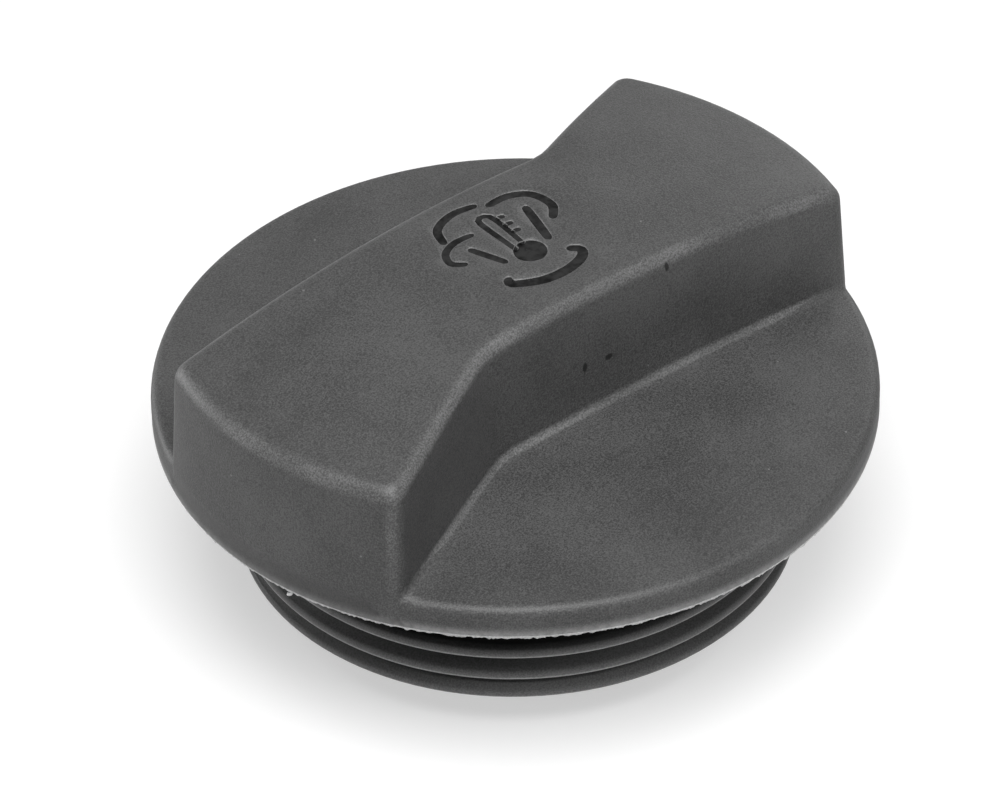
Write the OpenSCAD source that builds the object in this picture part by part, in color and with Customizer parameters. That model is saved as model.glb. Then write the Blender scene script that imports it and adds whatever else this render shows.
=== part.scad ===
// Screw cap of a coolant expansion tank: a moulded cap with a waisted grip and an external
// thread, and a valve insert that turns freely inside it. The insert holds a spring-loaded
// pressure valve with a small vacuum valve in its centre.
// Origin: centre of the insert's end face, which the cap stands on. +X runs along the grip.

/* [Cap] */
// Radius of the rim
rim_r = 36.1; // [34:0.1:40]
// Height of the rim, from its lower edge to the shoulder
rim_h = 3.25; // [3:0.05:5]
// Rounding of the rim's upper edge
rim_round = 1.2; // [0.8:0.1:2.2]
// Rise of the domed face above the shoulder
dome_rise = 1.8; // [0.8:0.1:2.4]
// Thickness of the moulded walls
wall = 2.4; // [2:0.1:2.8]

/* [Grip] */
// Height of the grip's top edge above the rim's lower edge, at mid length
grip_h = 19.5; // [17:0.1:22]
// Drop of the top for each square millimetre of distance along the grip
grip_crown = 0.0034; // [0.001:0.0001:0.005]
// Drop of the top for each square millimetre of distance across the grip
cross_crown = 0.0031; // [0:0.0001:0.005]
// Half width at the foot, at the bend of each side
waist_foot = 9.4; // [8.5:0.1:11]
// Half width at the top, at the bend of each side
waist_top = 9.05; // [8:0.05:10.8]
// Half width at the foot, at the corners
corner_foot = 15.5; // [14.5:0.1:16.5]
// Half width at the top, at the corners
corner_top = 15.15; // [14:0.05:16]
// Distance of the bend from the middle, at the foot
bend_foot = 12.2; // [10:0.1:15]
// Distance of the bend from the middle, at the top
bend_top = 13.3; // [10:0.1:15]
// Inside radius of the bend
bend_r = 7; // [4:0.5:12]
// Rounding of the upright corner edges
corner_r = 1.7; // [1:0.1:2.5]
// Rounding of the top edges
top_round = 1.6; // [1.2:0.1:2.6]
// Fillet between the grip and the face
foot_fillet = 0.9; // [0.6:0.1:1.8]

/* [Thread] */
// Radius of the thread's crests
crest_r = 28.2; // [27.6:0.1:28.6]
// Radius of the thread's root
root_r = 26.6; // [26:0.1:27]
// Length of the skirt below the rim
skirt_l = 15.6; // [15:0.1:17]
// Depth of the first crest's lower edge below the rim
first_crest = 9.7; // [9.2:0.1:10]
// Distance from crest to crest
pitch = 2.7; // [2.4:0.1:2.8]
// Width of a crest
crest_w = 1.1; // [0.8:0.1:1.2]
// Depth of the lower edge of the bead at the skirt's end
end_bead = 14.7; // [14.6:0.1:14.8]
// Width of that bead
bead_w = 0.9; // [0.6:0.1:1]

/* [Insert] */
// Length of the nose below the skirt
nose_l = 5.4; // [5:0.1:6]
// Outer radius of the pot
pot_r = 15.5; // [15:0.1:16]
// Thickness of the pot's wall
pot_wall = 2.5; // [2:0.1:2.6]
// Outer radius of the collars beside the O-ring
collar_r = 17.5; // [17:0.1:17.8]
// Radius of the flange that the cap holds
flange_r = 23.3; // [23:0.1:23.4]
// Radius of the port in the end face
port_r = 7; // [6.8:0.1:7.2]
// Thickness of the O-ring's section
o_ring_d = 3; // [2.8:0.1:3.2]
// Number of gussets under the flange
gussets = 8; // [6:12]

/* [Valves] */
// Mean radius of the main spring
main_spring_r = 9.9; // [9.8:0.05:10]
// Wire of the main spring
main_wire = 1.5; // [1.2:0.1:1.5]
// Turns of the main spring
main_turns = 5.5; // [4.5:0.5:6]
// Mean radius of the vacuum spring
small_spring_r = 2.9; // [2.8:0.05:3]
// Wire of the vacuum spring
small_wire = 0.5; // [0.4:0.1:0.6]
// Turns of the vacuum spring
small_turns = 5.5; // [4.5:0.5:6]

/* [Hidden] */
$fn = 96;
plastic = [0.20, 0.20, 0.21];
insert_plastic = [0.28, 0.28, 0.29];
rubber = [0.08, 0.08, 0.09];
steel = [0.72, 0.73, 0.75];

// Levels of the cap
rim_z = nose_l + skirt_l;
shoulder_z = rim_z + rim_h;
shoulder_r = rim_r - rim_round;
ceiling_z = shoulder_z - wall;
skirt_wall = 2.8;
skirt_in_r = root_r - skirt_wall;
dome_r = (shoulder_r * shoulder_r + dome_rise * dome_rise) / (2 * dome_rise) + rim_round;
dome_edge_a = asin(shoulder_r / (dome_r - rim_round));
rim_chamfer = 0.6;

// Fits between the loose pieces: the gap at a seat, and the slack of a pushed-on ring
seat_gap = 0.05;
slack = 0.04;

// Levels of the insert, from its end face up
groove_z = 2.1;
groove_w = o_ring_d + 0.4;
collar_t = 1;
floor_t = 2.8;
bead_h = 0.6;
chamber_r = pot_r - pot_wall;
flange_z = 15.1;
flange_t = 2;
pot_top = 20;
vent_r = 1.2;
gusset_t = 1.4;
gusset_h = 6.5;

// The cap holds the flange between a snap bead below and a ring above
snap_r = flange_r - 0.7;
snap_h = 2;
ring_r = 19.6;
ring_w = 1.8;
ring_gap = 0.3;

// Lid, with a ring that centres the main spring
lid_t = 1.2;
plug_z = pot_top - 1.1;
lid_vent_r = 1.5;
lid_vent_at = 5.2;
centre_in = 8.1;
centre_out = 8.8;
centre_h = 1.2;

// Pressure valve: a rubber ring under a plate, which has a boss and vents in its middle
seal_z = floor_t + bead_h + seat_gap;
seal_t = 1.55;
seal_out = 11;
plate_z = seal_z + seal_t;
plate_t = 1.4;
plate_r = 11.4;
plate_top = plate_z + plate_t;
plate_vent_r = 0.9;
plate_vent_at = 4.6;
boss_r = 7.4;
boss_h = 1.1;

// Vacuum valve: a mushroom with a rubber washer, hung from a clip
stem_r = 1.55;
stem_bore = 1.62;
head_r = 6.3;
head_t = 0.9;
vacuum_seal_t = 1.3;
vacuum_seal_z = plate_z - boss_h - seat_gap - vacuum_seal_t;
neck_r = 1.1;
clip_z = 11.9;
clip_t = 0.8;
clip_r = 3.9;
clip_slot = 1.8;
edge = 0.3;

// The grip's end walls stand just proud of the rim and lean in by the draft
end_proud = 0.05;
end_draft = 0.65;
least_round = 0.35;

// Hollow of the grip: its side walls, and the rib at each end
side_wall = wall + 0.5;
rib_t = 1.8;

// Numbers of points round the grip's outline, and of its courses of facets
end_points = 8;
corner_points = 6;
side_points = 40;
half_count = 2 * end_points + 2 * corner_points + side_points;
fillet_steps = 4;
wall_steps = 3;
round_steps = 6;
rung_steps = 6;

function mix(a, b, t) = a + (b - a) * t;
function ease(t) = t * t * (3 - 2 * t);

// Height of the face at distance r from the axis: a dome that runs into the rim's rounding
function face_z(r) = r < dome_r * sin(dome_edge_a)
    ? shoulder_z + dome_rise - dome_r + sqrt(dome_r * dome_r - r * r)
    : shoulder_z - rim_round + sqrt(max(0, pow(rim_round, 2) - pow(min(r, rim_r) - shoulder_r, 2)));

// Height of the grip's crowned top over a point of the plan
function lip_z(p) = rim_z + grip_h - grip_crown * p[0] * p[0] - cross_crown * p[1] * p[1];

// Outline of the grip on the +Y side, from the +X end to the -X end: a short flare from the
// +X corner, a soft bend before the middle, and a long straight to the -X corner. The other
// side is this one turned by half a turn. f goes from the foot to the top, and inset moves
// the whole outline inwards.
function half_outline(f, inset) = let(
    bend = [mix(bend_foot, bend_top, f), mix(waist_foot, waist_top, f)],
    corner_w = mix(corner_foot, corner_top, f),
    end_r = mix(rim_r + end_proud, rim_r - end_draft, f),
    corner_u = sqrt(end_r * end_r - corner_w * corner_w),
    flare_a = atan2(corner_w - bend[1], corner_u - bend[0]),
    long_a = -atan2(corner_w - bend[1], corner_u + bend[0]),
    flare_n = [-sin(flare_a), cos(flare_a)],
    long_n = [-sin(long_a), cos(long_a)],
    half_turn = (flare_a - long_a) / 2,
    mid_n = [-sin(flare_a - half_turn), cos(flare_a - half_turn)],
    new_bend = bend - inset / cos(half_turn) * mid_n,
    arc_r = bend_r + inset,
    arc_c = new_bend + arc_r / cos(half_turn) * mid_n,
    round_r = max(least_round, corner_r - 0.7 * inset),
    reach = end_r - inset - round_r,
    far_c = corner_centre(new_bend - round_r * flare_n, [cos(flare_a), sin(flare_a)], reach, 1),
    near_c = corner_centre(new_bend - round_r * long_n, [cos(long_a), sin(long_a)], reach, -1),
    far_a = atan2(far_c[1], far_c[0]),
    near_a = atan2(near_c[1], near_c[0]),
    u_far = far_c[0] + round_r * flare_n[0],
    u_near = near_c[0] + round_r * long_n[0])
    concat(
        arc_points([0, 0], end_r - inset, 0, far_a, end_points),
        arc_points(far_c, round_r, far_a, flare_a + 90, corner_points),
        [for (i = [0 : side_points - 1]) let(u = mix(u_far, u_near, i / side_points))
            [u, side_v(u, new_bend, flare_a, long_a, arc_c, arc_r)]],
        arc_points(near_c, round_r, long_a + 90, near_a, corner_points),
        arc_points([0, 0], end_r - inset, near_a, 180, end_points));

// Points of an arc without its last one, which the next stretch starts with
function arc_points(c, r, from, to, steps) =
    [for (i = [0 : steps - 1]) let(a = mix(from, to, i / steps)) c + r * [cos(a), sin(a)]];

// Centre of a corner's rounding: on the line through p along t, at distance reach from the axis
function corner_centre(p, t, reach, way) = let(along = p * t)
    p + (-along + way * sqrt(along * along - p * p + reach * reach)) * t;

// Half width at u: the flare, the bend's arc, or the long straight
function side_v(u, bend, flare_a, long_a, arc_c, arc_r) =
    u > arc_c[0] + arc_r * sin(flare_a) ? bend[1] + (u - bend[0]) * tan(flare_a)
    : u < arc_c[0] + arc_r * sin(long_a) ? bend[1] + (u - bend[0]) * tan(long_a)
    : arc_c[1] - sqrt(arc_r * arc_r - pow(u - arc_c[0], 2));

// The whole outline: one half, and the same half turned round
function outline(f, inset) = let(h = half_outline(f, inset)) concat(h, -1 * h);

// Weight of the end walls at point i: 1 on them, 0 on the sides, and a blend round the corners
function end_weight(i) = let(k = i % half_count, from_end = min(k, half_count - k))
    ease(max(0, min(1, 1 - (from_end - end_points) / corner_points)));

// One course of the foot: a hollow quarter round on the sides, and the plain wall on the ends,
// which run flush with the rim down to its lower edge. Course -1 is hidden inside the disc.
function foot_course(j) = let(
    a = 90 * max(0, j) / fillet_steps,
    dip = j < 0 ? 0.6 : j == 0 ? 0.06 : 0,
    side = outline(0, -foot_fillet * (1 - sin(a))),
    end = outline(0, 0))
    [for (i = [0 : 2 * half_count - 1]) let(w = end_weight(i), p = mix(side[i], end[i], w))
        [p[0], p[1], mix(face_z(norm(p)) + foot_fillet * (1 - cos(a)) - dip,
                         rim_z + 0.15 + 0.7 * (j + 1), w)]];

// One course of the wall, t from the fillet to the top rounding
function wall_course(t) = let(o = outline(t, 0), low = foot_course(fillet_steps), lip = outline(1, 0))
    [for (i = [0 : 2 * half_count - 1])
        [o[i][0], o[i][1], mix(low[i][2], lip_z(lip[i]) - top_round, t)]];

// One course of the rounded top edge, a from 0 on the wall to 90 on the top
function round_course(a) =
    [for (p = outline(1, top_round * (1 - cos(a)))) [p[0], p[1], lip_z(p) - top_round * (1 - sin(a))]];

// Points across the crowned top between two facing points of the last course
function rung(p, q) = [for (s = [1 : rung_steps - 1]) let(m = mix(p, q, s / rung_steps))
    [m[0], m[1], lip_z(m)]];

// The grip as one closed shell: courses stacked from the hidden bottom to the top edge, then
// rungs across the top
module grip() {
    n = 2 * half_count;
    courses = concat(
        [[for (p = outline(0, 1.5)) [p[0], p[1], shoulder_z - 2]]],
        [for (j = [-1 : fillet_steps]) foot_course(j)],
        [for (j = [1 : wall_steps]) wall_course(j / wall_steps)],
        [for (j = [1 : round_steps]) round_course(90 * j / round_steps)]);
    top = len(courses) - 1;
    rungs = [for (k = [1 : half_count - 1]) rung(courses[top][k], courses[top][n - k])];
    function at(k, s) = s == 0 ? top * n + k : s == rung_steps ? top * n + n - k
        : (top + 1) * n + (k - 1) * (rung_steps - 1) + s - 1;
    sides = [for (j = [0 : top - 1], i = [0 : n - 1]) let(
        a = j * n + i, b = j * n + (i + 1) % n) each [[a, b + n, b], [a, a + n, b + n]]];
    cap = [for (k = [1 : half_count - 2], s = [0 : rung_steps - 1])
        each [[at(k, s), at(k + 1, s + 1), at(k + 1, s)], [at(k, s), at(k, s + 1), at(k + 1, s + 1)]]];
    ends = [for (s = [0 : rung_steps - 1]) each [
        [top * n, at(1, s + 1), at(1, s)],
        [top * n + half_count, at(half_count - 1, s), at(half_count - 1, s + 1)]]];
    polyhedron([for (c = concat(courses, rungs)) each c],
               concat([[for (i = [0 : n - 1]) i]], sides, cap, ends));
}

// Hollow of the grip, cored from below: the skirt's wall runs up through it, with a rib at
// each end
module grip_hollow() {
    crown_r = 1 / (2 * grip_crown);
    inside = outline(0.5, side_wall);
    difference() {
        intersection() {
            translate([0, 0, flange_z + flange_t + 0.1])
                linear_extrude(rim_h + grip_h)
                    polygon([for (i = [0 : 4 : len(inside) - 1]) inside[i]]);
            translate([0, 0, rim_z + grip_h - wall - crown_r])
                rotate([90, 0, 0])
                    cylinder(r = crown_r, h = 2 * rim_r, center = true, $fn = 360);
        }
        difference() {
            cylinder(r = root_r + 0.2, h = 3 * rim_z);
            translate([0, 0, -1])
                cylinder(r = skirt_in_r - 0.2, h = 3 * rim_z + 2);
        }
        for (side = [-1, 1])
            translate([side * rim_r, 0, 1.5 * rim_z])
                cube([2 * (rim_r - root_r + 0.5), rib_t, 3 * rim_z], center = true);
    }
}

// Half section of one crest of width w, with its lower edge at depth below the rim
module crest_section(depth, w) {
    z = rim_z - depth;
    polygon([[root_r - 0.1, z - 0.3], [root_r, z - 0.3], [crest_r - 0.12, z - 0.04],
             [crest_r, z + 0.1], [crest_r, z + w - 0.15], [crest_r - 0.15, z + w],
             [root_r, z + w + 0.7], [root_r - 0.1, z + w + 0.7]]);
}

// Half section of the domed disc and the rim
module disc_section() {
    rim_steps = 7;
    dome_steps = 8;
    polygon(concat(
        [[0, ceiling_z], [rim_r - wall - rim_chamfer, ceiling_z],
         [rim_r - wall, ceiling_z - rim_chamfer], [rim_r - wall, rim_z], [rim_r, rim_z]],
        [for (i = [0 : rim_steps]) let(a = (90 - dome_edge_a) * i / rim_steps)
            [shoulder_r + rim_round * cos(a), shoulder_z - rim_round + rim_round * sin(a)]],
        [for (i = [1 : dome_steps]) let(a = dome_edge_a * (1 - i / dome_steps))
            [dome_r * sin(a), shoulder_z + dome_rise - dome_r * (1 - cos(a))]]));
}

module cap_body() {
    color(plastic)
        difference() {
            union() {
                rotate_extrude() {
                    disc_section();
                    polygon([[skirt_in_r + 0.5, nose_l], [root_r - 0.6, nose_l],
                             [root_r, nose_l + 0.6], [root_r, ceiling_z + 0.5],
                             [skirt_in_r, ceiling_z + 0.5], [skirt_in_r, nose_l + 0.5]]);
                    for (i = [0, 1])
                        crest_section(first_crest + i * pitch, crest_w);
                    crest_section(end_bead, bead_w);
                    // Bead that the insert's flange snaps over
                    polygon([[skirt_in_r + 0.1, flange_z - ring_gap - snap_h],
                             [skirt_in_r, flange_z - ring_gap - snap_h],
                             [snap_r, flange_z - ring_gap - 0.9], [snap_r, flange_z - ring_gap - 0.4],
                             [skirt_in_r, flange_z - ring_gap], [skirt_in_r + 0.1, flange_z - ring_gap]]);
                    // Ring that presses the insert down
                    translate([ring_r, flange_z + flange_t + ring_gap])
                        square([ring_w, ceiling_z + 0.5 - flange_z - flange_t - ring_gap]);
                }
                grip();
            }
            grip_hollow();
        }
}

// Tube with a flange, end wall and port, and collars on both sides of the O-ring
module valve_pot() {
    groove_top = groove_z + groove_w;
    seat_r = (boss_r + seal_out) / 2 - 0.4;
    color(insert_plastic)
        difference() {
            union() {
                rotate_extrude()
                    polygon([
                        [port_r, 0], [collar_r - 0.6, 0], [collar_r, 0.6], [collar_r, groove_z],
                        [pot_r, groove_z], [pot_r, groove_top], [collar_r, groove_top],
                        [collar_r, groove_top + collar_t], [pot_r, groove_top + collar_t + 1.2],
                        [pot_r, flange_z - 0.8], [pot_r + 0.8, flange_z], [flange_r - 0.4, flange_z],
                        [flange_r, flange_z + 0.4], [flange_r, flange_z + flange_t],
                        [pot_r, flange_z + flange_t], [pot_r, pot_top], [chamber_r, pot_top],
                        [chamber_r, floor_t], [seat_r + 0.6, floor_t], [seat_r + 0.3, floor_t + bead_h],
                        [seat_r - 0.3, floor_t + bead_h], [seat_r - 0.6, floor_t], [port_r, floor_t]]);
                for (i = [0 : gussets - 1])
                    rotate((i + 0.5) * 360 / gussets)
                        gusset();
            }
            // Vents through the flange, between the gussets
            for (i = [0 : gussets - 1])
                rotate(i * 360 / gussets)
                    translate([(pot_r + flange_r) / 2 - vent_r, 0, flange_z - 1])
                        cylinder(r = vent_r, h = flange_t + 2);
        }
}

// Stiffening web between the tube and the flange
module gusset() {
    gusset_r = flange_r - 2.2;
    translate([0, gusset_t / 2, 0])
        rotate([90, 0, 0])
            linear_extrude(gusset_t)
                polygon([[pot_r - 0.5, flange_z - gusset_h], [pot_r + 0.6, flange_z - gusset_h],
                         [gusset_r, flange_z - 1.2], [gusset_r, flange_z + 0.5],
                         [pot_r - 0.5, flange_z + 0.5]]);
}

// Lid pressed into the pot: it holds the main spring and lets the gas out
module pot_lid() {
    plug_r = chamber_r - slack;
    lid_r = pot_r - 0.2;
    lid_z = pot_top + 0.02;
    color(insert_plastic)
        difference() {
            rotate_extrude()
                polygon([
                    [0, plug_z], [centre_in, plug_z], [centre_in, plug_z - centre_h],
                    [centre_out, plug_z - centre_h], [centre_out, plug_z], [plug_r, plug_z],
                    [plug_r, lid_z], [lid_r, lid_z], [lid_r, pot_top + lid_t - edge],
                    [lid_r - edge, pot_top + lid_t], [0, pot_top + lid_t]]);
            for (i = [0 : 5])
                rotate(i * 60)
                    translate([lid_vent_at, 0, plug_z - 1])
                        cylinder(r = lid_vent_r, h = lid_t + 4);
        }
}

module nose_o_ring() {
    color(rubber)
        translate([0, 0, groove_z + groove_w / 2])
            rotate_extrude()
                translate([pot_r + slack + o_ring_d / 2, 0])
                    circle(r = o_ring_d / 2, $fn = 32);
}

// Plate of the pressure valve, with vents for the vacuum valve round the stem's hole
module pressure_plate() {
    color(insert_plastic)
        difference() {
            rotate_extrude()
                polygon([
                    [stem_bore, plate_z - boss_h], [boss_r - edge, plate_z - boss_h],
                    [boss_r, plate_z - boss_h + edge], [boss_r, plate_z], [plate_r - 0.2, plate_z],
                    [plate_r, plate_z + 0.2], [plate_r, plate_top - edge],
                    [plate_r - edge, plate_top], [centre_out, plate_top],
                    [centre_out, plate_top + centre_h - edge],
                    [centre_out - edge, plate_top + centre_h], [centre_in, plate_top + centre_h],
                    [centre_in, plate_top], [stem_bore, plate_top]]);
            for (i = [0 : 5])
                rotate(i * 60)
                    translate([plate_vent_at, 0, plate_z - boss_h - 1])
                        cylinder(r = plate_vent_r, h = plate_t + boss_h + 2);
        }
}

module pressure_seal() {
    color(rubber)
        rotate_extrude()
            polygon([[boss_r + slack, seal_z], [seal_out - 0.2, seal_z], [seal_out, seal_z + 0.2],
                     [seal_out, plate_z - slack / 2], [boss_r + slack, plate_z - slack / 2]]);
}

// Mushroom of the vacuum valve, which hangs in the port
module vacuum_stem() {
    color(insert_plastic)
        rotate_extrude()
            polygon([
                [0, vacuum_seal_z - head_t], [head_r - edge, vacuum_seal_z - head_t],
                [head_r, vacuum_seal_z - head_t + edge], [head_r, vacuum_seal_z],
                [stem_r, vacuum_seal_z], [stem_r, clip_z], [neck_r, clip_z],
                [neck_r, clip_z + clip_t + 0.1], [stem_r, clip_z + clip_t + 0.1],
                [stem_r, clip_z + clip_t + 0.6], [neck_r, clip_z + clip_t + 1.2],
                [0, clip_z + clip_t + 1.2]]);
}

module vacuum_seal() {
    color(rubber)
        rotate_extrude()
            polygon([[stem_r + slack, vacuum_seal_z + slack / 2],
                     [head_r - 0.1, vacuum_seal_z + slack / 2],
                     [head_r - 0.1, vacuum_seal_z + vacuum_seal_t - 0.2],
                     [head_r - edge, vacuum_seal_z + vacuum_seal_t],
                     [stem_r + slack, vacuum_seal_z + vacuum_seal_t]]);
}

// Push-on clip that the vacuum spring lifts
module stem_clip() {
    color(steel)
        difference() {
            translate([0, 0, clip_z + slack])
                cylinder(r = clip_r, h = clip_t - slack);
            translate([0, 0, clip_z - 1])
                cylinder(r = neck_r + slack, h = clip_t + 2, $fn = 48);
            translate([neck_r, -clip_slot / 2, clip_z - 1])
                cube([clip_r, clip_slot, clip_t + 2]);
        }
}

// Coil spring with one closed turn at each end, swept along its own helix
module coil_spring(mean_r, wire_d, turns, z_low, z_high) {
    sides = 6;
    steps = 18;
    count = ceil(turns * steps);
    rise = z_high - z_low - wire_d;
    function climb(t) = let(dead = 1 / turns)
        t < dead ? wire_d * t / dead
        : t > 1 - dead ? rise - wire_d * (1 - t) / dead
        : mix(wire_d, rise - wire_d, (t - dead) / (1 - 2 * dead));
    points = [for (i = [0 : count], s = [0 : sides - 1]) let(
        a = 360 * turns * i / count,
        r = mean_r + wire_d / 2 * cos(360 * s / sides),
        z = z_low + wire_d / 2 + climb(i / count) + wire_d / 2 * sin(360 * s / sides))
        [r * cos(a), r * sin(a), z]];
    walls = [for (i = [0 : count - 1], s = [0 : sides - 1]) let(
        a = i * sides + s, b = i * sides + (s + 1) % sides)
        each [[a, b, b + sides], [a, b + sides, a + sides]]];
    polyhedron(points, concat([[for (s = [sides - 1 : -1 : 0]) s]], walls,
                              [[for (s = [0 : sides - 1]) count * sides + s]]));
}

module main_spring() {
    color(steel)
        coil_spring(main_spring_r, main_wire, main_turns, plate_top + slack, plug_z - slack);
}

module vacuum_spring() {
    color(steel)
        coil_spring(small_spring_r, small_wire, small_turns, plate_top + slack, clip_z);
}

cap_body();
valve_pot();
pot_lid();
nose_o_ring();
pressure_plate();
pressure_seal();
main_spring();
vacuum_stem();
vacuum_seal();
vacuum_spring();
stem_clip();
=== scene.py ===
import math
import bpy
import bmesh
from mathutils import Matrix, Vector, noise
from mathutils.geometry import interpolate_bezier


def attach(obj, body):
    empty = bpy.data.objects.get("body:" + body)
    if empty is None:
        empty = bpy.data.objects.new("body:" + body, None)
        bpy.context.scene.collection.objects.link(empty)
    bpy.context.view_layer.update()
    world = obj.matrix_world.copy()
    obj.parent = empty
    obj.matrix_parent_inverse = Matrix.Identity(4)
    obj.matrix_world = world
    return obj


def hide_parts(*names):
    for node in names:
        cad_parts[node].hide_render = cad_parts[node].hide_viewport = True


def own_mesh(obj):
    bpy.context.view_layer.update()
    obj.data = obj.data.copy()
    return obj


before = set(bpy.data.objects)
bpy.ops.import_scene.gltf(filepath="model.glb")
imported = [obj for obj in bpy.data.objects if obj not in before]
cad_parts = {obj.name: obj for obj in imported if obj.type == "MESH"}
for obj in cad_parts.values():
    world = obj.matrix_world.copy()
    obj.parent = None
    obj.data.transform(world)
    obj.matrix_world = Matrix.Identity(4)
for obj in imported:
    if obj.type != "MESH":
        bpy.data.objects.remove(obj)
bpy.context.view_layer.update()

mm = 0.001


# small helpers
def link(name, data):
    made = bpy.data.objects.new(name, data)
    bpy.context.scene.collection.objects.link(made)
    return made


def towards(azimuth, elevation):
    # the way from the part to a camera or a lamp: azimuth 0 is in front of it, down -Y
    a, e = math.radians(azimuth), math.radians(elevation)
    return Vector((math.sin(a) * math.cos(e), -math.cos(a) * math.cos(e), math.sin(e)))


def grey(level, warmth=0.0):
    return (level * (1 + warmth), level, level * (1 - warmth), 1)


def toMesh(work, name):
    mesh = bpy.data.meshes.new(name)
    work.to_mesh(mesh)
    work.free()
    return mesh


def shadeSmooth(mesh, sharpAngle):
    mesh.polygons.foreach_set("use_smooth", [True] * len(mesh.polygons))
    mesh.set_sharp_from_angle(angle=math.radians(sharpAngle))


def finishMesh(work, name, material, sharpAngle=35):
    bmesh.ops.recalc_face_normals(work, faces=work.faces)
    mesh = toMesh(work, name)
    shadeSmooth(mesh, sharpAngle)
    mesh.materials.append(material)
    return mesh


def mergedCopy(nodeName):
    work = bmesh.new()
    work.from_mesh(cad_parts[nodeName].data)
    bmesh.ops.remove_doubles(work, verts=work.verts, dist=1e-6)
    return work


def pick(geometry, kind):
    return [g for g in geometry if isinstance(g, kind)]


def liftOne(work, extruded):
    # the unit shapes below are built in whole steps of z
    bmesh.ops.translate(work, vec=(0, 0, 1), verts=pick(extruded, bmesh.types.BMVert))


# camera
view = {"target": (-0.000919, 0.000956, 0.021527), "azimuth": -46.118, "elevation": 38.975,
        "distance": 0.600, "lens": 216.77, "roll": -1.3557, "sensor": 36, "clip": (0.01, 20)}


def makeCamera():
    azimuth, roll = math.radians(view["azimuth"]), math.radians(view["roll"])
    back = towards(view["azimuth"], view["elevation"])
    right = Vector((math.cos(azimuth), math.sin(azimuth), 0))
    up = back.cross(right)
    tiltedRight = right * math.cos(roll) + up * math.sin(roll)
    tiltedUp = up * math.cos(roll) - right * math.sin(roll)
    data = bpy.data.cameras.new("camera")
    data.lens, data.sensor_width = view["lens"], view["sensor"]
    data.clip_start, data.clip_end = view["clip"]
    camera = link("camera", data)
    turn = Matrix((tiltedRight, tiltedUp, back)).transposed().to_4x4()
    camera.matrix_world = Matrix.Translation(Vector(view["target"]) + back * view["distance"]) @ turn
    bpy.context.scene.camera = camera


makeCamera()
print("camera ready")


# node groups shared by the materials
class Graph:
    # a node tree with short calls for adding and joining nodes
    def __init__(self, tree):
        self.tree = tree

    def join(self, output, socket):
        self.tree.links.new(output, socket)

    def add(self, kind, inputs=None, **settings):
        # an input is given a constant or another node's output
        node = self.tree.nodes.new(kind)
        for key, value in settings.items():
            setattr(node, key, value)
        for socket, value in (inputs or {}).items():
            if isinstance(value, bpy.types.NodeSocket):
                self.join(value, node.inputs[socket])
            else:
                node.inputs[socket].default_value = value
        return node

    def math(self, operation, a, b=0.0, c=0.0):
        return self.add("ShaderNodeMath", {0: a, 1: b, 2: c}, operation=operation).outputs[0]

    def vector(self, operation, a, b=(0, 0, 0)):
        # b is a number for SCALE
        second = "Scale" if operation == "SCALE" else 1
        node = self.add("ShaderNodeVectorMath", {0: a, second: b}, operation=operation)
        return node.outputs["Value" if operation in ("LENGTH", "DISTANCE", "DOT_PRODUCT") else "Vector"]

    def place(self):
        return self.add("ShaderNodeTexCoord").outputs["Object"]

    def normal(self):
        return self.add("ShaderNodeNewGeometry").outputs["Normal"]

    def axis(self, vector, index):
        return self.add("ShaderNodeSeparateXYZ", {0: vector}).outputs[index]

    def ramp(self, value, low, high):
        # 0 at low, 1 at high
        return self.add("ShaderNodeMapRange", {"Value": value, "From Min": low, "From Max": high},
                        interpolation_type="SMOOTHSTEP").outputs["Result"]

    def noise(self, vector, scale, detail=2.0, roughness=0.5):
        return self.add("ShaderNodeTexNoise", {"Vector": vector, "Scale": scale, "Detail": detail,
                                               "Roughness": roughness}).outputs["Fac"]

    def mixColour(self, share, a, b):
        # 6 and 7 are the mix node's two colour inputs
        return self.add("ShaderNodeMix", {"Factor": share, 6: a, 7: b}, data_type="RGBA").outputs[2]

    def relief(self, shader, height, strength, distance):
        bump = self.add("ShaderNodeBump", {"Strength": strength, "Distance": distance, "Height": height})
        self.join(bump.outputs["Normal"], shader.inputs["Normal"])


def newGroup(name, inputs, outputs):
    group = bpy.data.node_groups.new(name, "ShaderNodeTree")
    for label, value in inputs.items():
        group.interface.new_socket(label, in_out="INPUT", socket_type="NodeSocketFloat").default_value = value
    for label in outputs:
        group.interface.new_socket(label, in_out="OUTPUT", socket_type="NodeSocketFloat")
    graph = Graph(group)
    return group, graph, graph.add("NodeGroupInput"), graph.add("NodeGroupOutput")


# scales are per metre, the coarse grain's is a share of the fine grain's
mouldGrain = {"coarseScale": 0.33, "coarseShare": 0.6, "cloudScale": 90.0, "cloudTone": 0.45, "fineTone": 1.3,
              "dotScale": 620.0, "dotRadius": 0.08}
edgeWearAndHighlight = {"reach": 0.0004, "samples": 6, "flat": 0.995, "sharp": 0.90, "patchScale": 700.0, "patches": (0.3, 0.7),
            "patchShare": 0.6}


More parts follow.
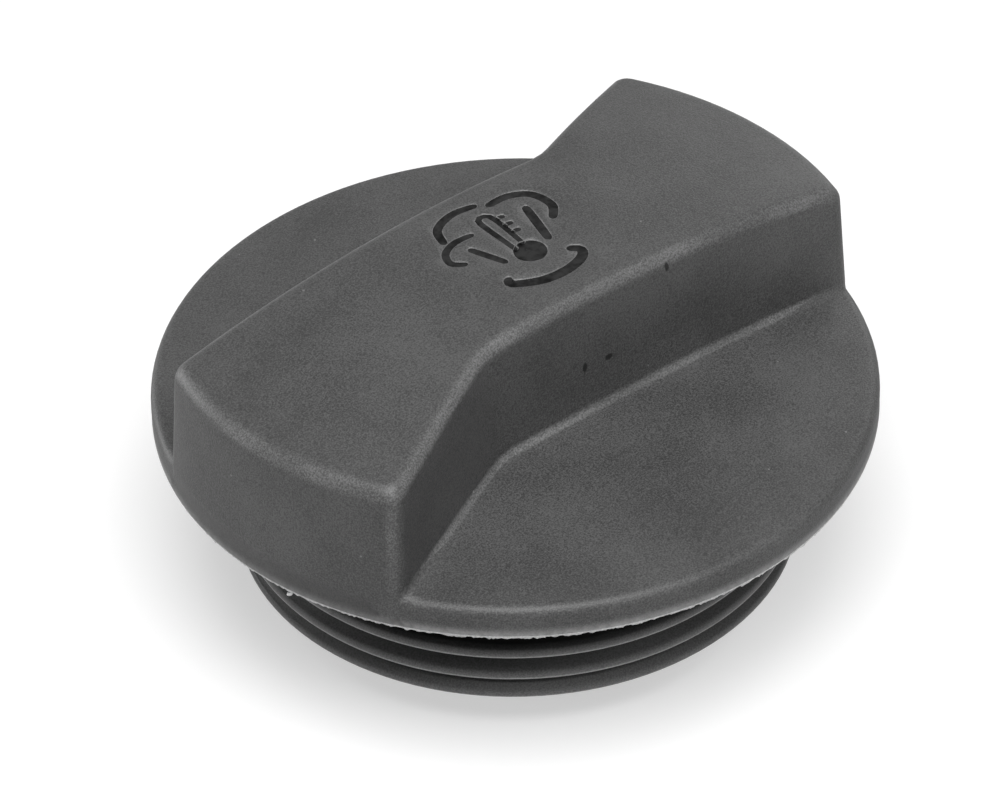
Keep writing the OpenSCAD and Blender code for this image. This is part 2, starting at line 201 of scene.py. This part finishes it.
def makeGrainGroup():
    # fine moulding grain: height for the bump, tone for the colour, and pale specks
    group, graph, given, result = newGroup("mouldGrain", {"Size": 0.25, "Dust": 0.04}, ("Height", "Tone", "Specks"))
    place = graph.place()
    perMetre = graph.math("DIVIDE", 1000.0, given.outputs["Size"])
    fine = graph.noise(place, perMetre, 2.0, 0.6)
    coarse = graph.noise(place, graph.math("MULTIPLY", perMetre, mouldGrain["coarseScale"]), 2.0, 0.5)
    clouds = graph.noise(place, mouldGrain["cloudScale"], 3.0, 0.55)
    height = graph.math("MULTIPLY_ADD", coarse, mouldGrain["coarseShare"], fine)
    tone = graph.math("MULTIPLY_ADD", clouds, mouldGrain["cloudTone"],
                      graph.math("MULTIPLY", fine, mouldGrain["fineTone"]))
    dots = graph.add("ShaderNodeTexVoronoi", {"Vector": place, "Scale": mouldGrain["dotScale"]}, feature="F1")
    chance = graph.add("ShaderNodeSeparateColor", {"Color": dots.outputs["Color"]}).outputs[0]
    near = graph.math("LESS_THAN", dots.outputs["Distance"], mouldGrain["dotRadius"])
    specks = graph.math("MULTIPLY", near, graph.math("LESS_THAN", chance, given.outputs["Dust"]))
    for label, value in (("Height", height), ("Tone", tone), ("Specks", specks)):
        graph.join(value, result.inputs[label])
    return group


def makeEdgeGroup():
    # 1 on sharp edges, broken up by noise: wear that handling has polished, and partly a painted highlight
    group, graph, given, result = newGroup("edgeWearAndHighlight", {"Reach": edgeWearAndHighlight["reach"]}, ("Mask",))
    soft = graph.add("ShaderNodeBevel", {"Radius": given.outputs["Reach"]}, samples=edgeWearAndHighlight["samples"])
    same = graph.vector("DOT_PRODUCT", soft.outputs["Normal"], graph.normal())
    spread = graph.ramp(graph.noise(graph.place(), edgeWearAndHighlight["patchScale"], 4.0, 0.65), *edgeWearAndHighlight["patches"])
    patchy = graph.math("MULTIPLY_ADD", spread, edgeWearAndHighlight["patchShare"], 1 - edgeWearAndHighlight["patchShare"])
    mask = graph.math("MULTIPLY", graph.ramp(same, edgeWearAndHighlight["flat"], edgeWearAndHighlight["sharp"]), patchy)
    graph.join(mask, result.inputs["Mask"])
    return group


grainGroup = makeGrainGroup()
edgeGroup = makeEdgeGroup()


# materials
tones = {"plastic": 0.063, "insert": 0.045, "rubber": 0.022, "steel": 0.6, "flash": 0.6, "sign": 0.012}


def newMaterial(name, sockets):
    material = bpy.data.materials.new(name)
    material.use_nodes = True
    graph = Graph(material.node_tree)
    shader = graph.tree.nodes["Principled BSDF"]
    for key, value in sockets.items():
        shader.inputs[key].default_value = value
    return material, graph, shader


# how the grain's tone shows in the colour and the shine, and what edge wear, partly a painted highlight on the
# edges, and specks do to both
plasticLook = {"toneRange": (0.6, 1.15), "wearAndHighlightGain": 2.6, "speckGain": 4, "speckShare": 0.5,
               "shineSpread": 0.12, "shineMiddle": 0.09, "wornPolish": 0.08, "reliefHeight": 0.00005}


def mouldedPlastic(name, tone, roughness, bump, wearAndHighlight, grain, variation=0.2, specular=0.5):
    material, graph, shader = newMaterial(name, {"Specular IOR Level": specular})
    grains = graph.add("ShaderNodeGroup", grain, node_tree=grainGroup)
    grains.name = "grain"
    edges = graph.add("ShaderNodeGroup", node_tree=edgeGroup).outputs["Mask"]
    level = graph.ramp(grains.outputs["Tone"], *plasticLook["toneRange"])
    body = graph.mixColour(level, grey(tone * (1 - variation)), grey(tone * (1 + variation)))
    wornAndHighlit = graph.mixColour(graph.math("MULTIPLY", edges, wearAndHighlight), body, grey(tone * plasticLook["wearAndHighlightGain"]))
    specks = graph.math("MULTIPLY", grains.outputs["Specks"], plasticLook["speckShare"])
    speckled = graph.mixColour(specks, wornAndHighlit, grey(tone * plasticLook["speckGain"]))
    shine = graph.math("MULTIPLY_ADD", grains.outputs["Tone"], plasticLook["shineSpread"],
                       roughness - plasticLook["shineMiddle"])
    polished = graph.math("SUBTRACT", shine, graph.math("MULTIPLY", edges, plasticLook["wornPolish"]))
    graph.join(speckled, shader.inputs["Base Color"])
    graph.join(polished, shader.inputs["Roughness"])
    graph.relief(shader, grains.outputs["Height"], bump, plasticLook["reliefHeight"])
    return material


def reopened(material):
    # a plastic's graph, its shader and the colour made so far
    graph = Graph(material.node_tree)
    shader = graph.tree.nodes["Principled BSDF"]
    return graph, shader, shader.inputs["Base Color"].links[0].from_socket


# marks on the cap alone, above the thread: a pale rim edge that is partly scuffing and partly a painted highlight,
# painted highlights on the grip's roundings, and three dark marks on the grip's side (their places and half sizes in
# mm)
scuffAndHighlight = {"low": 0.0210, "high": 0.0225, "inner": 0.0357, "tone": 0.30, "fade": 1.6, "chips": (0.25, 0.7)}
roundingHighlight = {"foot": 0.0250, "highlightGain": 1.75, "topEdge": (0.15, 0.5), "topFlat": (0.97, 0.80),
            "cornerStart": (0.45, 0.62), "cornerEnd": (0.98, 0.85), "corner": 0.0346,
            "patches": 75.0, "patchRange": (0.35, 0.6), "patchShare": 0.7}
darkMarks = {"tone": 0.006, "ragged": 0.8, "rim": (1.6, 1.1),
             "spots": [((-1.4, -10.8, 31.4), (0.3, 2.0, 0.6)), ((1.6, -11.2, 31.2), (0.48, 2.0, 0.36)),
                       ((9.1, -12.0, 38.3), (0.26, 2.0, 0.55))]}


def roundingHighlightMask(graph, place, radius):
    # 1 on the rounded edges of the grip's top and on the upright corners of its ends, where a painted highlight
    # lightens the colour
    normal = graph.normal()
    tilt = graph.axis(normal, 2)
    sideways = graph.math("ABSOLUTE", graph.axis(normal, 1))
    top = graph.math("MULTIPLY", graph.ramp(tilt, *roundingHighlight["topEdge"]), graph.ramp(tilt, *roundingHighlight["topFlat"]))
    corner = graph.math("MULTIPLY", graph.ramp(sideways, *roundingHighlight["cornerStart"]),
                        graph.ramp(sideways, *roundingHighlight["cornerEnd"]))
    corner = graph.math("MULTIPLY", corner, graph.ramp(radius, roundingHighlight["corner"] - mm, roundingHighlight["corner"]))
    mask = graph.math("MULTIPLY", graph.math("MAXIMUM", top, corner),
                      graph.math("GREATER_THAN", graph.axis(place, 2), roundingHighlight["foot"]))
    patches = graph.ramp(graph.noise(place, roundingHighlight["patches"], 3.0), *roundingHighlight["patchRange"])
    uneven = graph.math("MULTIPLY_ADD", patches, roundingHighlight["patchShare"], 1 - roundingHighlight["patchShare"])
    return graph.math("MULTIPLY", mask, uneven)


def dressCap(material):
    graph, shader, body = reopened(material)
    place = graph.place()
    flat = graph.add("ShaderNodeCombineXYZ", {0: graph.axis(place, 0), 1: graph.axis(place, 1)}).outputs[0]
    radius = graph.vector("LENGTH", flat)
    broken = graph.noise(place, 1500.0, 4.0, 0.7)

    # painted highlights: the colour is lighter on the grip's roundings and upright corners
    highlightGain = graph.math("MULTIPLY_ADD", roundingHighlightMask(graph, place, radius), roundingHighlight["highlightGain"] - 1, 1.0)
    colour = graph.vector("SCALE", body, highlightGain)

    # a pale band up from the rim's lower edge: scuffing, and partly a painted highlight on the rim's wall
    rise = graph.math("POWER", graph.ramp(graph.axis(place, 2), scuffAndHighlight["high"], scuffAndHighlight["low"]), scuffAndHighlight["fade"])
    outer = graph.math("MULTIPLY", rise, graph.math("GREATER_THAN", radius, scuffAndHighlight["inner"]))
    chipped = graph.math("MULTIPLY_ADD", graph.ramp(broken, *scuffAndHighlight["chips"]), 0.5, 0.5)
    colour = graph.mixColour(graph.math("MULTIPLY", outer, chipped), colour, grey(scuffAndHighlight["tone"]))

    ragged = graph.math("MULTIPLY", broken, darkMarks["ragged"])
    for centre, size in darkMarks["spots"]:
        offset = graph.vector("SUBTRACT", place, [v * mm for v in centre])
        away = graph.vector("LENGTH", graph.vector("DIVIDE", offset, [v * mm for v in size]))
        spot = graph.ramp(graph.math("ADD", away, ragged), *darkMarks["rim"])
        colour = graph.mixColour(spot, colour, grey(darkMarks["tone"]))
    graph.join(colour, shader.inputs["Base Color"])


# painted light and shade on the thread, by one rule for every crest: a painted highlight at its lower edge, its face
# painted paler than the groove above it, and painted shade in the undercut and in the gap below the rim
# (edges and rises in mm, the edges from the CAD model's crests and end bead)
threadPaintedLight = {"edges": (6.2, 8.58, 11.28), "edgeHighlight": 0.5, "face": 0.17, "crown": 0.1, "groove": 0.05, "paintedShade": 0.001,
              "undercut": 0.3, "edge": 0.04, "line": 0.14, "lineShare": 0.8, "faceRise": 0.3, "crownRise": 1.0,
              "grooveRise": 1.95, "gapRise": 1.4, "skirtEnd": 5.4, "wall": 15.5, "wander": 0.08}
# pale dust on the crests round one place
dust = {"place": (0.0138, -0.0247, 0.0125), "reach": 0.006, "amount": 0.45, "elsewhere": 0.03}


def threadTones():
    # (height in mm, tone) from the skirt's end up to the rim: painted highlights at the crests' lower edges, painted
    # shade below them
    use = threadPaintedLight
    stops = [(use["skirtEnd"], use["groove"])]
    for edge in use["edges"]:
        stops += [(edge - use["undercut"], use["paintedShade"]), (edge - use["edge"], use["paintedShade"]), (edge, use["edgeHighlight"]),
                  (edge + use["line"], use["lineShare"] * use["edgeHighlight"]), (edge + use["faceRise"], use["face"]),
                  (edge + use["crownRise"], use["crown"]), (edge + use["grooveRise"], use["groove"])]
    stops[-1] = (edge + use["gapRise"], use["paintedShade"])
    return stops + [(edge + use["grooveRise"], use["paintedShade"]), (use["wall"], use["groove"])]


def dressThread(material):
    graph, shader, body = reopened(material)
    place = graph.place()
    wander = threadPaintedLight["wander"] * mm
    uneven = graph.math("MULTIPLY_ADD", graph.noise(place, 300.0, 3.0, 0.6), wander, -wander / 2)
    height = graph.math("ADD", graph.axis(place, 2), uneven)
    byHeight = threadTones()
    low, high = byHeight[0][0] * mm, byHeight[-1][0] * mm
    share = graph.add("ShaderNodeMapRange", {"Value": height, "From Min": low, "From Max": high})
    # the band of tones is painted light and shade along the height
    band = graph.add("ShaderNodeValToRGB", {"Fac": share.outputs["Result"]})
    stops = band.color_ramp.elements
    stops[0].color, stops[-1].color = grey(byHeight[0][1]), grey(byHeight[-1][1])
    for rise, tone in byHeight[1:-1]:
        stops.new((rise * mm - low) / (high - low)).color = grey(tone)
    grainy = graph.vector("SCALE", body, 1 / tones["plastic"])
    graph.join(graph.vector("MULTIPLY", band.outputs["Color"], grainy), shader.inputs["Base Color"])
    close = graph.ramp(graph.vector("DISTANCE", place, dust["place"]), dust["reach"], 0.0)
    graph.join(graph.math("MULTIPLY_ADD", close, dust["amount"], dust["elsewhere"]),
               graph.tree.nodes["grain"].inputs["Dust"])


capPlastic = mouldedPlastic("capPlastic", tones["plastic"], roughness=0.46, bump=0.8, wearAndHighlight=0.35,
                            grain={"Size": 0.17}, variation=0.5)
threadPlastic = mouldedPlastic("threadPlastic", tones["plastic"], roughness=0.42, bump=0.3, wearAndHighlight=0.3,
                               grain={"Size": 0.17}, variation=0.22, specular=0.12)
insertPlastic = mouldedPlastic("insertPlastic", tones["insert"], roughness=0.38, bump=0.25, wearAndHighlight=0.2,
                               grain={"Size": 0.5})
signFloor = mouldedPlastic("signFloor", tones["sign"], roughness=0.35, bump=0.8, wearAndHighlight=0.0,
                           grain={"Size": 1.1, "Dust": 0.35}, variation=0.95, specular=0.2)
flashPlastic = mouldedPlastic("flashPlastic", tones["flash"], roughness=0.6, bump=0.5, wearAndHighlight=0.0,
                              grain={"Size": 0.2})
dressCap(capPlastic)
dressThread(threadPlastic)

rubberLook = {"grainSize": 0.4, "toneRange": (0.3, 1.1), "dark": 0.8, "pale": 1.3, "shine": (0.2, 0.32),
              "bump": 0.15, "reliefHeight": 0.00002}
steelLook = {"markScale": 2600.0, "dullScale": 320.0, "dullRange": (0.4, 0.7), "dullTone": 0.7,
             "shine": (0.3, 0.16), "bump": 0.2, "reliefHeight": 0.00001}


def makeRubber():
    material, graph, shader = newMaterial("sealRubber", {})
    grains = graph.add("ShaderNodeGroup", {"Size": rubberLook["grainSize"]}, node_tree=grainGroup)
    level = graph.ramp(grains.outputs["Tone"], *rubberLook["toneRange"])
    dark, pale = grey(tones["rubber"] * rubberLook["dark"]), grey(tones["rubber"] * rubberLook["pale"])
    graph.join(graph.mixColour(level, dark, pale), shader.inputs["Base Color"])
    graph.join(graph.math("MULTIPLY_ADD", level, *rubberLook["shine"]), shader.inputs["Roughness"])
    graph.relief(shader, grains.outputs["Height"], rubberLook["bump"], rubberLook["reliefHeight"])
    return material


def makeSteel():
    # drawn wire: bright, with fine marks and a little dulling
    material, graph, shader = newMaterial("springSteel", {"Metallic": 1.0})
    place = graph.place()
    marks = graph.noise(place, steelLook["markScale"], 4.0, 0.7)
    dull = graph.noise(place, steelLook["dullScale"], 3.0, 0.6)
    bright, dulled = grey(tones["steel"], 0.01), grey(tones["steel"] * steelLook["dullTone"], 0.02)
    colour = graph.mixColour(graph.ramp(dull, *steelLook["dullRange"]), bright, dulled)
    graph.join(colour, shader.inputs["Base Color"])
    graph.join(graph.math("MULTIPLY_ADD", dull, *steelLook["shine"]), shader.inputs["Roughness"])
    graph.relief(shader, marks, steelLook["bump"], steelLook["reliefHeight"])
    return material


sealRubber = makeRubber()
springSteel = makeSteel()
print("materials ready")


# sign cut into the grip's top
# strokes as (points in mm on the plan, width in mm): a thermometer with its bulb and marks in
# the middle, two bars beside it and four bows round it
sign = {"depth": 0.5, "flare": 0.1, "above": 0.4, "steps": 40, "curveSteps": 24, "thin": 0.72, "swell": 0.28,
        "longStroke": 3, "bluntEnd": 0.01, "flareFacing": (-0.9, -0.4), "flareZone": 0.002, "strokes": [
    ([(-0.6, -1.2), (0.0, 3.5), (0.4, 4.9), (1.2, 5.0), (1.6, 3.9), (0.6, -1.0)], 0.68),
    ([(0.2, -3.9), (0.2, -0.6)], 3.4),
    ([(1.8, 3.8), (2.7, 3.5)], 0.6),
    ([(1.5, 2.5), (2.5, 2.2)], 0.6),
    ([(1.3, 1.2), (2.2, 0.9)], 0.6),
    ([(5.2, 3.2), (2.8, -2.4)], 1.0),
    ([(-3.6, 2.5), (-2.6, -1.9)], 0.8),
    ([(2.2, 6.8), (-0.6, 7.6), (-3.3, 6.9), (-4.5, 4.7)], 0.95),
    ([(-1.5, 3.7), (-3.6, 4.2), (-5.5, 3.7), (-6.3, 2.2), (-5.3, 0.9)], 0.8),
    ([(2.6, 5.9), (5.2, 5.6), (7.1, 4.1), (7.2, 1.4), (5.5, -0.3)], 1.05),
    ([(2.9, -4.5), (3.8, -5.6), (2.9, -6.5), (0.6, -6.8), (-1.9, -6.3), (-3.9, -5.1), (-4.8, -4.1),
      (-4.1, -3.5)], 1.15)]}
# the grip's crowned top as in the CAD model: its height, and its fall by the squares of x and y, in metres
grip = {"top": 0.0405, "crownAlong": 3.4, "crownAcross": 3.1}
capShape = {"sharpAngle": 32, "skirtTop": 0.0209, "skirtRadius": 0.0255}


def topHeight(x, y):
    return grip["top"] - grip["crownAlong"] * x * x - grip["crownAcross"] * y * y


def smoothPath(points, steps):
    # a curve through all points, each stretch a bezier with its neighbours' slope
    ends = [points[0]] + points + [points[-1]]
    path = []
    for a, b, c, d in zip(ends, ends[1:], ends[2:], ends[3:]):
        path += interpolate_bezier(b, b + (c - a) / 6, c - (d - b) / 6, c, steps)[:-1]
    return path + [points[-1]]


def addStroke(cutter, points, width):
    # a unit slab of three levels, bent along the path, with round ends and a flare at its top
    path = smoothPath([Vector((x, y, 0)) * mm for x, y in points], sign["curveSteps"])
    lengths = [0]
    for a, b in zip(path, path[1:]):
        lengths.append(lengths[-1] + (b - a).length)
    total, radius = lengths[-1], width * mm / 2

    def along(s):
        k = max(i for i in range(len(path) - 1) if lengths[i] <= s or i == 0)
        heading = (path[k + 1] - path[k]).normalized()
        return path[k] + heading * (s - lengths[k]), Vector((-heading.y, heading.x, 0))

    slab = bmesh.new()
    bmesh.ops.create_grid(slab, x_segments=sign["steps"], y_segments=4, size=0.5)
    top = list(slab.faces)
    for level in (1, 2):
        risen = bmesh.ops.extrude_face_region(slab, geom=top)["geom"]
        liftOne(slab, risen)
        top = pick(risen, bmesh.types.BMFace)
    heights = {0: -sign["depth"] * mm, 1: -sign["flare"] * mm, 2: sign["above"] * mm}
    flares = {0: 0, 1: 0, 2: (sign["above"] + sign["flare"]) * mm}
    for vert in slab.verts:
        u, v, level = vert.co.x + 0.5, vert.co.y * 2, round(vert.co.z)
        s = total * (1 - math.cos(math.pi * u)) / 2
        inset = min(s, total - s)
        end = 1 if inset >= radius else math.sqrt(max(sign["bluntEnd"], 1 - (1 - inset / radius) ** 2))
        place, side = along(s)
        isShort = total < sign["longStroke"] * width * mm
        taper = 1 if isShort else sign["thin"] + sign["swell"] * math.sin(math.pi * u)
        heading = Vector((side.y, -side.x, 0))
        spread = v * (radius * end * taper + flares[level] * end)
        push = (2 * u - 1) ** 3 * flares[level]
        spot = place + side * spread + heading * push
        vert.co = (spot.x, spot.y, topHeight(spot.x, spot.y) + heights[level])
    bmesh.ops.recalc_face_normals(slab, faces=slab.faces)
    mesh = toMesh(slab, "stroke")
    cutter.from_mesh(mesh)
    bpy.data.meshes.remove(mesh)


def cutShell(shell):
    cutter = bmesh.new()
    for points, width in sign["strokes"]:
        addStroke(cutter, points, width)
    cutterMesh = toMesh(cutter, "signCutter")
    steep, level = sign["flareFacing"]
    for face in cutterMesh.polygons:      # the flare keeps the cap's own plastic
        isFlare = steep < face.normal.z < level and face.center.z > grip["top"] - sign["flareZone"]
        face.material_index = 0 if isFlare else 1
    cutterMesh.materials.append(capPlastic)
    cutterMesh.materials.append(signFloor)
    tool = link("signCutter", cutterMesh)
    cut = shell.modifiers.new("sign", "BOOLEAN")
    cut.operation, cut.solver, cut.use_self, cut.object = "DIFFERENCE", "EXACT", True, tool
    bpy.context.view_layer.update()
    result = bpy.data.meshes.new_from_object(shell.evaluated_get(bpy.context.evaluated_depsgraph_get()))
    shell.modifiers.clear()
    shell.data = result
    bpy.data.objects.remove(tool)


shell = link("capShell", finishMesh(mergedCopy("cap_body"), "capShell", capPlastic, capShape["sharpAngle"]))
shell.data.materials.append(signFloor)
shell.data.materials.append(threadPlastic)
cutShell(shell)
for face in shell.data.polygons:          # the skirt below the rim
    if face.center.z < capShape["skirtTop"] and face.center.xy.length > capShape["skirtRadius"]:
        face.material_index = 2
shadeSmooth(shell.data, capShape["sharpAngle"])
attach(shell, "cap")
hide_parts("cap_body")
print("cap shell ready", len(shell.data.polygons), "faces,", len(shell.data.materials), "materials")


# flash round the rim's lower edge, with one loose curl, in mm
# the section's four courses are (outwards, upwards), and None is the ragged edge that hangs
flash = {"radius": 36.1, "height": 21.0, "steps": 1200, "hang": 0.2, "ragged": 0.24,
         "section": ((0.01, 0.10), (-0.01, -0.05), (-0.10, None), (-0.3, 0.02)),
         "waves": 45, "teeth": 160, "teethShare": 0.7, "sharpAngle": 60}
curl = {"angle": -174.6, "radius": 35.8, "height": 20.6, "bend": 0.42, "thick": 0.2, "turn": 230,
        "sides": 8, "steps": 18, "thinning": 0.85, "tip": 0.12, "opening": 0.5}


def addCurl(work):
    # a thin tapered hook: a circle spun through most of a turn, thinner towards its tip
    upright = Matrix.Rotation(math.pi / 2, 4, "X")
    made = bmesh.ops.create_circle(work, cap_ends=True, segments=curl["sides"], radius=curl["thick"] * mm,
                                   matrix=Matrix.Translation((curl["bend"] * mm, 0, 0)) @ upright)["verts"]
    faces = list({f for v in made for f in v.link_faces})
    sweep = math.radians(curl["turn"])
    bmesh.ops.spin(work, geom=faces + made, cent=(0, 0, 0), axis=(0, 0, 1), angle=sweep, steps=curl["steps"],
                   use_merge=False)
    stand = Matrix.Rotation(math.radians(curl["angle"]), 4, "Z") @ Matrix.Translation(
        (curl["radius"] * mm, 0, curl["height"] * mm)) @ Matrix.Rotation(math.pi / 2, 4, "Y")
    for vert in [v for v in work.verts if v.co.length < 5 * mm]:      # the flash itself is 36 mm out
        angle = math.atan2(vert.co.y, vert.co.x) % (2 * math.pi)
        spine = Vector((math.cos(angle), math.sin(angle), 0)) * curl["bend"] * mm
        taper = 1 - curl["thinning"] * angle / sweep if angle < sweep + 0.1 else 1
        grown = 1 + curl["opening"] * angle / sweep
        vert.co = stand @ (spine * grown + (vert.co - spine) * max(taper, curl["tip"]))


def makeFlash():
    work = bmesh.new()
    bmesh.ops.create_circle(work, cap_ends=False, segments=flash["steps"], radius=1)
    first = loop = list(work.edges)
    for course in (1, 2, 3):
        grown = bmesh.ops.extrude_edge_only(work, edges=loop)["geom"]
        liftOne(work, grown)
        loop = [e for e in pick(grown, bmesh.types.BMEdge) if all(v.co.z > course - 0.5 for v in e.verts)]
    bmesh.ops.bridge_loops(work, edges=first + loop)
    for v in work.verts:
        angle = math.atan2(v.co.y, v.co.x)
        outwards, upwards = flash["section"][round(v.co.z)]
        if upwards is None:
            waves = noise.noise(Vector((v.co.x, v.co.y, 0)) * flash["waves"])
            teeth = noise.noise(Vector((v.co.x, v.co.y, 3)) * flash["teeth"])
            upwards = -flash["hang"] - flash["ragged"] * (waves + flash["teethShare"] * teeth)
        r = (flash["radius"] + outwards) * mm
        v.co = (r * math.cos(angle), r * math.sin(angle), (flash["height"] + upwards) * mm)
    addCurl(work)
    return finishMesh(work, "rimFlash", flashPlastic, flash["sharpAngle"])


rimFlash = link("rimFlash", makeFlash())
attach(rimFlash, "cap")
print("flash ready")


# springs, in mm
mainSpring = {"radius": 9.9, "wire": 1.5, "turns": 5.5, "low": 6.44, "high": 18.86, "sides": 14, "steps": 40}
vacuumSpring = {"radius": 2.9, "wire": 0.5, "turns": 5.5, "low": 6.44, "high": 11.9, "sides": 12, "steps": 32}


def makeSpring(name, size):
    # a circle spun up the axis: one closed turn, the open turns, and one closed turn
    work = bmesh.new()
    wire = size["wire"] * mm
    start = Matrix.Translation((size["radius"] * mm, 0, size["low"] * mm + wire / 2))
    bmesh.ops.create_circle(work, cap_ends=True, segments=size["sides"], radius=wire / 2,
                            matrix=start @ Matrix.Rotation(math.pi / 2, 4, "X"))
    rise = (size["high"] - size["low"]) * mm - wire
    front = list(work.faces) + list(work.edges) + list(work.verts)
    for turns, climb in ((1, wire), (size["turns"] - 2, rise - 2 * wire), (1, wire)):
        steps = round(turns * size["steps"])
        spun = bmesh.ops.spin(work, geom=front, cent=(0, 0, 0), axis=(0, 0, 1), dvec=(0, 0, climb / steps),
                              angle=turns * 2 * math.pi, steps=steps, use_merge=False, use_duplicate=False)
        front = spun["geom_last"]
    return finishMesh(work, name, springSteel, 60)


def dressSpring(name, size, node, body):
    spring = link(name, makeSpring(name, size))
    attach(spring, body)
    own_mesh(spring)
    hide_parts(node)


dressSpring("mainSpring", mainSpring, "main_spring", "insert")
dressSpring("vacuumSpring", vacuumSpring, "vacuum_spring", "pressure_valve")
print("springs ready")


# insert and valve pieces: the CAD nodes with rounded edges, the edge in mm
def dressNode(name, node, body, material, edge):
    piece = link(name, finishMesh(mergedCopy(node), name, material))
    bevel = piece.modifiers.new("edges", "BEVEL")
    bevel.width, bevel.segments, bevel.limit_method, bevel.angle_limit = edge * mm, 2, "ANGLE", math.radians(38)
    bevel.harden_normals = False
    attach(piece, body)
    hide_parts(node)


dressNode("valvePot", "valve_pot", "insert", insertPlastic, edge=0.12)
dressNode("potLid", "pot_lid", "insert", insertPlastic, edge=0.08)
dressNode("pressurePlate", "pressure_plate", "pressure_valve", insertPlastic, edge=0.08)
dressNode("vacuumStem", "vacuum_stem", "vacuum_valve", insertPlastic, edge=0.08)
for node, material in (("nose_o_ring", sealRubber), ("pressure_seal", sealRubber), ("vacuum_seal", sealRubber),
                       ("stem_clip", springSteel)):
    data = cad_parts[node].data
    if data.materials:
        data.materials[0] = material
    else:
        data.materials.append(material)
print("insert ready")


# studio
floorLook = {"half": 3.0, "drop": 0.0002, "tone": 0.62, "seenTone": 0.5, "seenGlow": 0.53, "roughness": 0.9}
skyLook = {"level": 0.06, "shine": 0.4, "horizonShine": 0.6, "horizon": (0.6, 0.15)}
lamps = {"overheadSoftbox": {"azimuth": -46, "elevation": 66, "distance": 0.9, "size": (0.5, 0.5), "power": 9.0},
         "sideSoftbox": {"azimuth": 0, "elevation": 45, "distance": 0.9, "size": (0.4, 0.4), "power": 1.4},
         "leftCard": {"azimuth": -160, "elevation": 5, "distance": 0.9, "size": (0.4, 0.12), "power": 2.8},
         "backCard": {"azimuth": 106, "elevation": 17, "distance": 0.9, "size": (0.5, 0.2), "power": 0.95}}
lampAim = (0, 0, 0.03)


def makeFloor():
    # the camera sees white paper, the lights' bounce comes from a duller one, and from below it is clear
    work = bmesh.new()
    bmesh.ops.create_grid(work, x_segments=1, y_segments=1, size=floorLook["half"],
                          matrix=Matrix.Translation((0, 0, -floorLook["drop"])))
    material, graph, shader = newMaterial("paleFloor", {"Roughness": floorLook["roughness"], "Emission Strength": 1})
    seen = graph.add("ShaderNodeLightPath").outputs["Is Camera Ray"]
    paper = graph.mixColour(seen, grey(floorLook["tone"]), grey(floorLook["seenTone"]))
    graph.join(paper, shader.inputs["Base Color"])
    graph.join(graph.mixColour(seen, grey(0), grey(floorLook["seenGlow"])), shader.inputs["Emission Color"])
    below = graph.add("ShaderNodeNewGeometry").outputs["Backfacing"]
    clear = graph.add("ShaderNodeBsdfTransparent").outputs[0]
    surface = graph.add("ShaderNodeMixShader", {0: below, 1: shader.outputs[0], 2: clear}).outputs[0]
    graph.join(surface, graph.tree.nodes["Material Output"].inputs["Surface"])
    floor = link("floor", finishMesh(work, "floor", material))


def makeSky():
    # white to the camera, a pale room in reflections that is whitest low down, little light of its own
    world = bpy.data.worlds.new("studio")
    world.use_nodes = True
    graph = Graph(world.node_tree)
    rays = graph.add("ShaderNodeLightPath").outputs
    rise = graph.axis(graph.add("ShaderNodeTexCoord").outputs["Generated"], 2)
    room = graph.math("MULTIPLY_ADD", graph.ramp(rise, *skyLook["horizon"]),
                      skyLook["horizonShine"] - skyLook["shine"], skyLook["shine"] - skyLook["level"])
    shine = graph.math("MULTIPLY_ADD", rays["Is Glossy Ray"], room, skyLook["level"])
    level = graph.math("MULTIPLY_ADD", rays["Is Camera Ray"], 1 - skyLook["level"], shine)
    background = graph.tree.nodes["Background"]
    background.inputs["Color"].default_value = (1, 1, 1, 1)
    graph.join(level, background.inputs["Strength"])
    bpy.context.scene.world = world


def areaLight(name, azimuth, elevation, distance, size, power):
    way = towards(azimuth, elevation)
    data = bpy.data.lights.new(name, "AREA")
    data.shape = "RECTANGLE"
    data.size, data.size_y = size
    data.energy = power
    turn = way.to_track_quat("Z", "Y").to_matrix().to_4x4()
    link(name, data).matrix_world = Matrix.Translation(way * distance + Vector(lampAim)) @ turn


makeFloor()
makeSky()
for name, lamp in lamps.items():
    areaLight(name, **lamp)
bpy.context.scene.view_settings.view_transform = "Standard"
print("studio ready")
